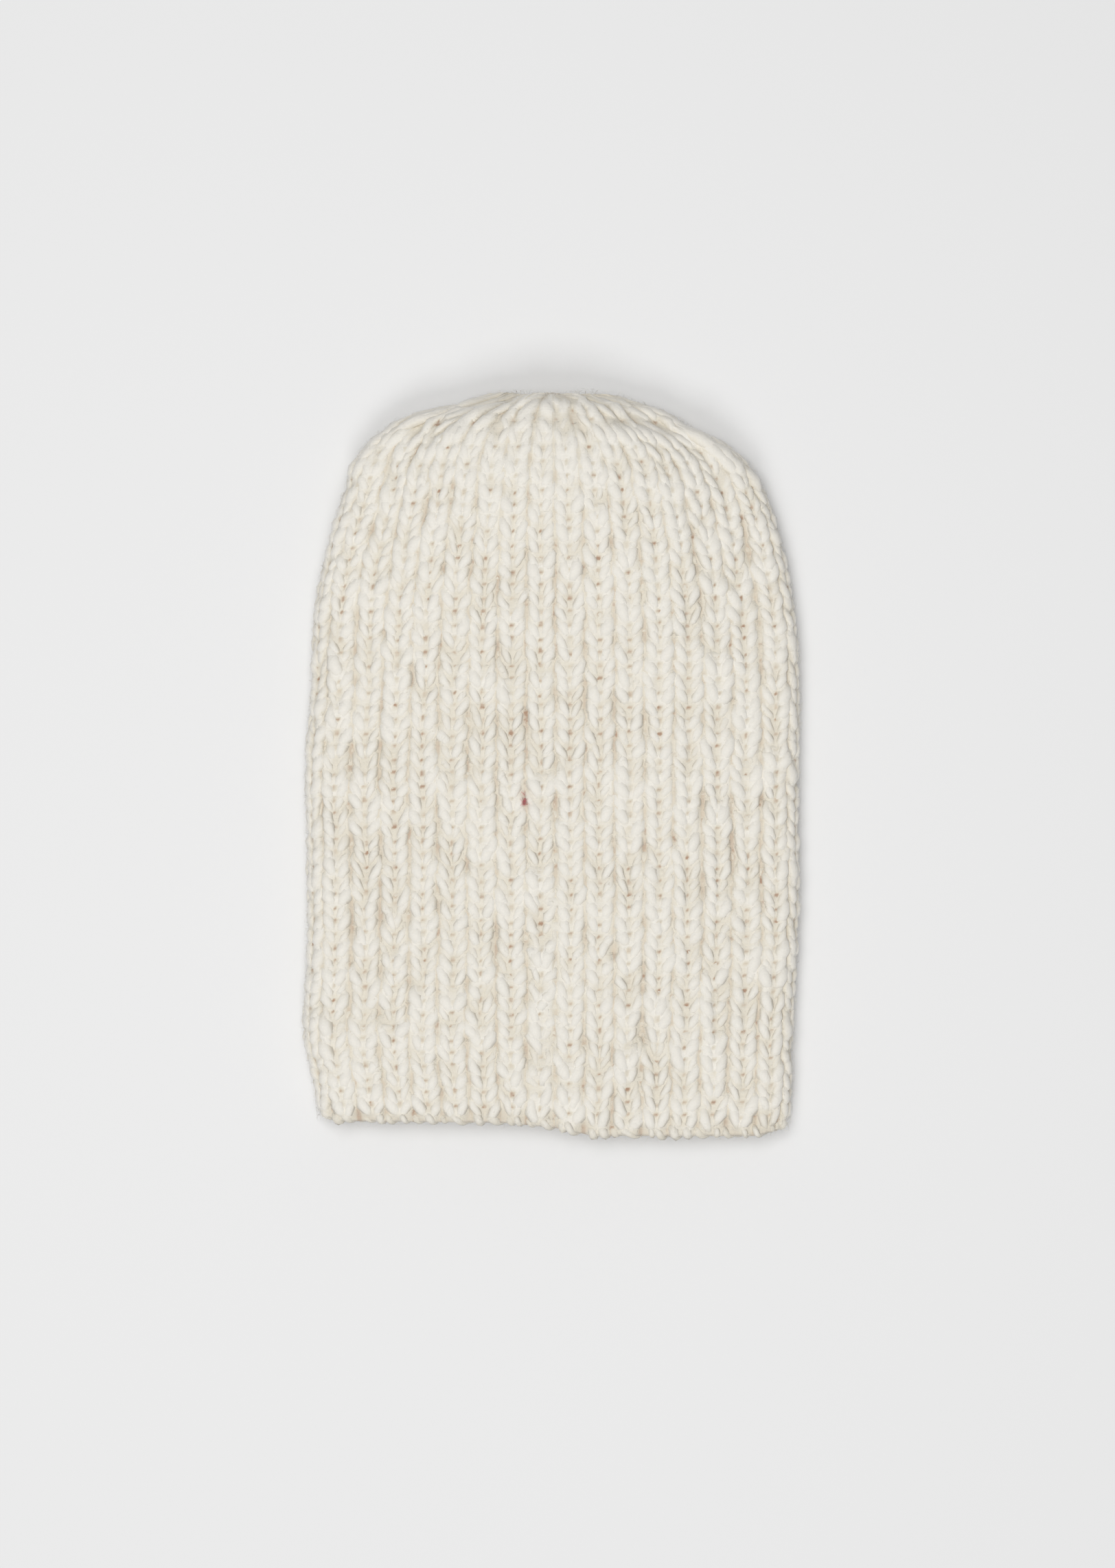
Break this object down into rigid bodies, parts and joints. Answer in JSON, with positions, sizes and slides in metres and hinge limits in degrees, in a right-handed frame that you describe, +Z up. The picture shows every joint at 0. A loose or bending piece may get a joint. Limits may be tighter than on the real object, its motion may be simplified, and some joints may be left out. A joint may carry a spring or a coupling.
{
  "type": "beanie",
  "caption": "Hand-knitted rib beanie lying flat, open at the hem, gathered shut at the crown, in soft ivory thick-and-thin wool.",
  "frame": {"origin": "on the surface it lies on, under the middle of the cap's bounding box", "axes": "+Z up off the surface, +Y from the open hem to the gathered crown, +X across the cap to its right fold seen from above"},
  "size_m": [0.2148, 0.3218, 0.038],
  "materials": {
    "ivory_wool": "matte, soft, slightly fuzzy",
    "beige_wool": "matte, soft"
  },
  "bodies": {
    "root": {"knit_shell": "ivory_wool", "closing_yarn": "beige_wool"}
  },
  "joints": []
}
